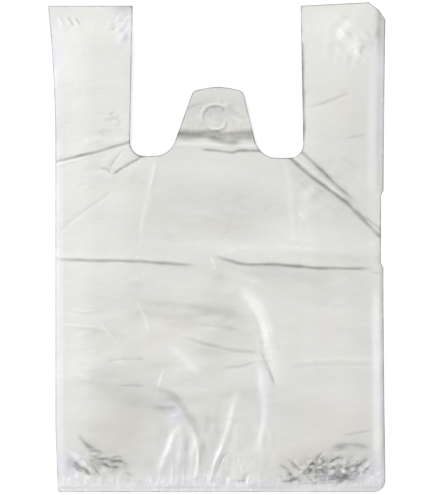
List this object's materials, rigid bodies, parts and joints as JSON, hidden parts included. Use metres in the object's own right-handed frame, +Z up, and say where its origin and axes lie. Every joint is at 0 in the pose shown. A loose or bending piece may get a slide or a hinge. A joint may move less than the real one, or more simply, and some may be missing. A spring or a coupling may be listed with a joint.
{
  "type": "plastic carrier bag",
  "caption": "Flat gusseted film carrier bag with two loop handles and a punched hanging tab between them.",
  "frame": {"origin": "on the surface that the bag lies on, under the middle of its box", "axes": "+Y along the bag towards the handles, +X across it to the right as the front is seen, +Z up out of the front panel"},
  "size_m": [0.3066, 0.4452, 0.004],
  "materials": {
    "milky_film": "milky translucent film, softly glossy, creased"
  },
  "bodies": {
    "root": {"carrier_bag": "milky_film"}
  },
  "joints": []
}
